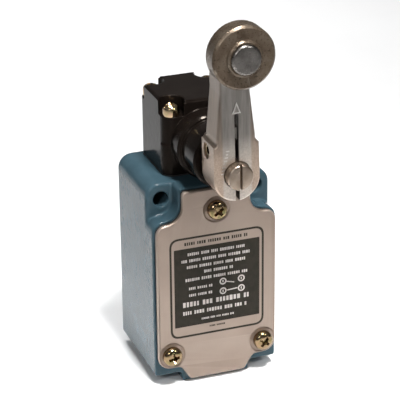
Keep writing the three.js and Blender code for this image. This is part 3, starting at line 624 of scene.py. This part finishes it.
def cheese_head_screw(name, place, spin):
    """A tall head with a slot and a cross, upright, its seat at 0."""
    radius, height, shank, length = 2.6, 3.5, 1.5, 25.9
    profile = [
        (0, -length),
        (shank - 0.4, -length),
        (shank, -length + 0.6),
        (shank, 0),
        (radius, 0),
        (radius, height * 0.52),
        (radius * 0.97, height * 0.66),
        (radius * 0.88, height * 0.79),
        (radius * 0.72, height * 0.89),
        (radius * 0.5, height * 0.96),
        (radius * 0.25, height * 0.99),
        (0, height),
    ]
    turned = place @ Matrix.Rotation(math.radians(spin), 4, "Z")
    screw = lathe(name, profile, turned, 64)
    slot = box("Slot", (-3, 3), (-0.38, 0.38), (height - 1.1, height + 1), turned)
    combine(screw, [slot, *cross_recess(1.5, 1.6, height, turned)])
    return bevel_edges(screw, 0.07, 2, 40)


def build_screws():
    spins = {"top": 38, "left": 12, "right": 52}
    for name, (x, z) in COVER_SCREWS.items():
        place = at(x, COVER_FRONT, z) @ FRONT
        piece_name = f"cover_screw_{name}_head"
        screw = pan_head_screw(piece_name, place, 3.1, 2.3, 1.5, 7.5, spins[name], DIMPLE_DEPTH)
        place_piece(screw, MATERIALS["yellow_zinc"], "yellow_zinc", f"cover_screw_{name}")

    spins = {"front_left": 8, "front_right": -22, "rear_left": 40, "rear_right": 15}
    for name, spin in spins.items():
        low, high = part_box(f"head_screw_{name}")
        centre = (low + high) / 2 / MM
        screw = cheese_head_screw(f"head_screw_{name}_head", at(centre.x, centre.y, HEAD_SCREW_SEAT), spin)
        place_piece(screw, MATERIALS["bright_zinc"], "yellow_zinc", f"head_screw_{name}")


# ---- housing and cover ----


def build_housing():
    housing = cast_copy("housing", "housing_casting", voxel=0.3, rounds=6, keep=0.3)
    place_piece(housing, MATERIALS["housing_paint"], "housing_paint", "housing")


def build_cover():
    cover = copy_of("cover_plate", "cover_pressing")
    dimples = []
    for x, z in COVER_SCREWS.values():
        profile = [(0, 1), (4.6, 1), (4.35, 0), (3.9, -DIMPLE_DEPTH), (0, -DIMPLE_DEPTH)]
        dimples.append(lathe("Dimple", profile, at(x, COVER_FRONT, z) @ FRONT, 64))
    combine(cover, dimples)
    bevel_edges(cover, 0.12, 2, 30)
    place_piece(cover, MATERIALS["cover_metal"], "cover_metal", "cover_plate")


def print_piece(name, material, parts):
    """Joins flat prisms into one printed piece on the cover."""
    join_pieces(name, parts)
    place_piece(parts[0], material, "cover_metal", body="root")


PRINT_RISE = 0.03
PANEL = {"half_width": 13.9, "bottom": -14.45, "top": 11.95}


def flat_mark(outline, rise=PRINT_RISE, hole=None, base=-0.02):
    return prism("Mark", outline, base, rise, at(0, COVER_FRONT, 0) @ FRONT, hole)


def bar(x, z, length, height, rise=PRINT_RISE, angle=0.0):
    turn = Matrix.Rotation(math.radians(angle), 2)
    u, v = length / 2, height / 2
    corners = [(-u, -v), (u, -v), (u, v), (-u, v)]
    return flat_mark([tuple(turn @ Vector(c) + Vector((x, z))) for c in corners], rise, base=0.0)


def dashes(rng, x0, x1, z, height, rise):
    """Groups of narrow upright bars, where the real cover has a line of small print."""
    marks = []
    width = height * 0.42
    x = x0
    while x < x1 - width:
        for _ in range(rng.randint(3, 7)):
            if x < x1 - width:
                thick = width * rng.uniform(0.8, 1.35)
                marks.append(bar(x + thick / 2, z, thick, height * rng.uniform(0.85, 1.0), rise))
                x += thick + width * 0.5
        x += width * 1.3
    return marks


def circle(x, z, radius, count=32):
    return [
        (x + radius * math.cos(2 * math.pi * i / count), z + radius * math.sin(2 * math.pi * i / count))
        for i in range(count)
    ]


def build_print():
    rng = random.Random(7)
    outer = rectangle(15.33, -18.15, 15.65, 3)
    inner = rectangle(14.68, -17.5, 15.0, 2.4)
    title = dashes(rng, -10.5, 10.5, 13.45, 1.1, PRINT_RISE)
    foot = dashes(rng, -2.6, 2.6, -15.6, 0.6, PRINT_RISE)
    panel = flat_mark(rectangle(PANEL["half_width"], PANEL["bottom"], PANEL["top"], 0.25, 2))
    dark = [flat_mark(outer, hole=inner), panel, *title, *foot]
    print_piece("cover_print_dark", MATERIALS["dark_ink"], dark)

    rise = PRINT_RISE + 0.02
    light = []
    rows = [(-9.5, 9.2, 9.9), (-11.5, 11.5, 7.75), (-9.8, 9.5, 5.6), (-4.2, 5.2, 3.45), (-10.3, 10.0, 1.3)]
    for x0, x1, z in rows:
        light += dashes(rng, x0, x1, z, 1.0, rise)
    for z in (-1.7, -4.0):
        light += dashes(rng, -9.2, -1.6, z, 0.9, rise)
    light += dashes(rng, -11.2, 11.4, -7.0, 1.7, rise)
    light += dashes(rng, -11.2, 10.2, -9.9, 1.25, rise)
    light += dashes(rng, -5.2, 5.4, -12.6, 0.65, rise)
    for x, z in ((1.9, -1.0), (7.9, -1.0), (1.9, -4.3), (7.9, -4.3)):
        light.append(flat_mark(circle(x, z, 1.15), rise, circle(x, z, 0.72), 0.0))
        light.append(bar(x, z, 0.35, 0.8, rise))
    light.append(bar(4.3, -1.6, 2.6, 0.35, rise, -14))
    light.append(bar(4.9, -4.2, 3.4, 0.35, rise, 4))
    print_piece("cover_print_light", MATERIALS["light_ink"], light)


# ---- head, shaft and lever ----


def build_head():
    head = cast_copy("head_housing", "head_casting", voxel=0.2, rounds=6, keep=0.3)
    place_piece(head, MATERIALS["head_paint"], "head_paint", "head_housing")

    profile = [
        (7, 24),
        (10.35, 24),
        (10.35, 29.3),
        (9.7, 30.02),
        (9.05, 30.02),
        (9.05, 39.6),
        (8.4, 40.3),
        (7, 40.3),
    ]
    neck = lathe("head_neck_turned", fillet(profile, 0.2, 3), at(0, 0, SHAFT_Z) @ FRONT, 128)
    place_piece(neck, MATERIALS["head_paint"], "head_paint", body="root")


def build_shaft():
    radius = 3.97
    profile = [
        (0, 55.4),
        (radius - 0.55, 55.4),
        (radius - 0.3, 55.34),
        (radius - 0.1, 55.15),
        (radius, 54.85),
        (radius, 9.2),
        (3.3, 9.2),
        (3.3, 8.2),
        (radius, 8.2),
        (radius, 2.8),
        (radius - 0.4, 2.4),
        (0, 2.4),
    ]
    place = at(0, 0, SHAFT_Z) @ FRONT
    shaft = lathe("shaft_turned", profile, place, 96)
    slot = box("Slot", (-0.4, 0.4), (-5, 5), (54.1, 57), place)
    combine(shaft, [slot])
    bevel_edges(shaft, 0.06, 2, 50)
    place_piece(shaft, MATERIALS["shaft_steel"], "plated_steel", "shaft")


def build_lever():
    lever = cast_copy("lever_arm", "lever_forging", voxel=0.13, rounds=5, keep=0.25)
    place_piece(lever, MATERIALS["lever_steel"], "lever_steel", "lever_arm")


def build_lever_marks():
    """The pointer above the slit, and ticks on the hub where the real lever is stamped, both in a bright
    steel whose light colour is a painted highlight.
    """
    on_lever = lever_place(0) @ FRONT
    triangle = [(-1.3, 19.1), (1.3, 19.1), (0, 22.6)]
    hollow = [(-0.8, 19.4), (0.8, 19.4), (0, 21.7)]
    mark = prism("lever_pointer_mark", triangle, LEVER_FACE + 0.05, LEVER_FACE + 0.3, on_lever, hollow)
    place_piece(mark, MATERIALS["painted_highlight_steel"], "lever_steel", body="lever")

    rng = random.Random(11)
    ticks = []
    for i in range(8):
        along = 0.9 + 0.98 * i
        across = -4.6 + 0.25 * i
        half = rng.uniform(0.3, 0.65)
        sides = (across - half, across + half)
        ends = (along - 0.2, along + 0.2)
        ticks.append(box("Tick", sides, ends, (LEVER_FACE - 0.2, LEVER_FACE + 0.06), on_lever))
    join_pieces("lever_ticks", ticks)
    place_piece(ticks[0], MATERIALS["painted_highlight_steel"], "lever_steel", body="lever")


def build_clamp_screw():
    """A socket screw across the hub: its head sunk in the left side, its tip just past the right side."""
    place = lever_place(-45.7, 6.2) @ Matrix.Rotation(math.radians(90), 4, "Y")
    profile = [
        (0, -6.5),
        (1.9, -6.5),
        (2.15, -6.4),
        (2.25, -6.2),
        (2.25, -4.6),
        (1.9, -4.6),
        (1.9, 7.4),
        (1.4, 7.9),
        (0, 7.9),
    ]
    screw = lathe("clamp_screw_socket", profile, place, 64)
    socket = prism("Socket", circle(0, 0, 1.2, 6), -8, -5.2, place)
    combine(screw, [socket])
    bevel_edges(screw, 0.06, 2, 45)
    place_piece(screw, MATERIALS["yellow_zinc"], "yellow_zinc", "clamp_screw")


def build_roller():
    place = lever_place(0, LEVER_RADIUS) @ FRONT
    profile = fillet(
        [
            (2.65, 60.6),
            (4.45, 60.85),
            (4.95, 60.85),
            (5.35, 60.45),
            (5.45, 59.95),
            (8.8, 59.95),
            (9.5, 59.25),
            (9.5, 54.3),
            (8.8, 53.6),
            (2.65, 53.6),
        ],
        0.16,
        3,
    )
    roller = lathe("roller_ring", profile, place, 128)
    place_piece(roller, MATERIALS["sintered_steel"], "sintered_steel", "roller")

    pin_profile = [
        (0, 62.0),
        (3.75, 62.0),
        (4.0, 61.95),
        (4.35, 61.6),
        (4.48, 61.35),
        (4.5, 61.1),
        (4.5, 60.97),
        (2.5, 60.97),
        (2.5, 50.8),
        (3.1, 50.8),
        (3.05, 50.3),
        (2.7, 49.95),
        (2.0, 49.75),
        (0, 49.7),
    ]
    pin = lathe("roller_pin_turned", pin_profile, place, 96)
    place_piece(pin, MATERIALS["pin_steel"], "plated_steel", "roller_pin")


# ---- what the other CAD nodes get ----


def dress_cad_nodes():
    """Rounds the small edges of every CAD node that still shows, and gives it its slot's material."""
    slots = {entry["node"]: entry["material_slot"] for entry in frame["record"]["subparts"]}
    for name, node in frame["nodes"].items():
        if node.hide_render:
            continue
        node.data.materials.clear()
        node.data.materials.append(MATERIALS[slots[name]])
        weld = node.modifiers.new("Weld", "WELD")
        weld.merge_threshold = 0.001 * MM
        bevel = node.modifiers.new("Bevel", "BEVEL")
        bevel.width = 0.08 * MM
        bevel.segments = 2
        bevel.limit_method = "ANGLE"
        bevel.angle_limit = math.radians(40)
        node.data.shade_smooth()
        weighted = node.modifiers.new("Weighted normals", "WEIGHTED_NORMAL")
        weighted.keep_sharp = True


# ---- studio ----


def softbox(name, azimuth, elevation, distance, size, power, aim=(0, -25, 20), spread=180):
    """A square lamp aimed at a place, its azimuth counted from the front towards the right."""
    around = math.radians(azimuth)
    up = math.radians(elevation)
    towards = Vector((math.sin(around) * math.cos(up), -math.cos(around) * math.cos(up), math.sin(up)))
    data = bpy.data.lights.new(name, "AREA")
    data.shape = "RECTANGLE"
    data.size, data.size_y = size
    data.energy = power
    data.spread = math.radians(spread)
    light = bpy.data.objects.new(name, data)
    light.location = Vector(aim) * MM + towards * distance
    light.rotation_euler = (-towards).to_track_quat("-Z", "Y").to_euler()
    bpy.context.scene.collection.objects.link(light)


def build_studio():
    low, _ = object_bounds()
    size = 6.0
    bm = bmesh.new()
    bmesh.ops.create_grid(bm, x_segments=1, y_segments=1, size=size / MM)
    floor = new_piece("studio_floor", bm, Matrix.Translation((0, 0, low.z - 0.0001)))
    surface = Surface("Pale floor", Roughness=0.9, Specular_IOR_Level=0.2)
    surface.colour(surface.ramp(surface.noise(60, 3), (0.3, (0.90, 0.90, 0.90)), (0.7, (0.92, 0.92, 0.92))))
    floor.data.materials.append(surface.material)

    world = bpy.data.worlds.new("Studio")
    world.use_nodes = True
    background = world.node_tree.nodes["Background"]
    background.inputs["Color"].default_value = (1, 1, 1, 1)
    background.inputs["Strength"].default_value = 0.13
    bpy.context.scene.world = world

    softbox("Pool", 5, 70, 0.8, (0.12, 0.12), 0.27, (10, -35, -33), 28)
    softbox("Behind", 180, 80, 1.3, (0.4, 0.4), 1.3, (0, 280, -33), 44)
    softbox("Left", -42, 30, 0.75, (0.06, 0.08), 1.15)
    softbox("Right", 36, 38, 0.75, (0.06, 0.08), 1.3)


def build_camera():
    azimuth = math.radians(CAMERA_AZIMUTH)
    elevation = math.radians(CAMERA_ELEVATION)
    back = Vector(
        (
            math.sin(azimuth) * math.cos(elevation),
            -math.cos(azimuth) * math.cos(elevation),
            math.sin(elevation),
        )
    )
    data = bpy.data.cameras.new("Camera")
    data.sensor_width = 36
    data.lens = CAMERA_LENS
    data.clip_start = 0.01
    data.clip_end = 50
    camera = bpy.data.objects.new("Camera", data)
    camera.rotation_mode = "QUATERNION"
    camera.location = (Vector(CAMERA_AIM) + back * CAMERA_DISTANCE) * MM
    level = (-back).to_track_quat("-Z", "Y")
    roll = Matrix.Rotation(math.radians(CAMERA_ROLL), 3, "Z").to_quaternion()
    camera.rotation_quaternion = level @ roll
    bpy.context.scene.collection.objects.link(camera)
    bpy.context.scene.camera = camera


build_camera()
build_housing()
build_cover()
build_print()
build_screws()
build_head()
build_shaft()
build_lever()
build_lever_marks()
build_clamp_screw()
build_roller()
dress_cad_nodes()
build_studio()
bpy.context.scene.view_settings.view_transform = "Standard"
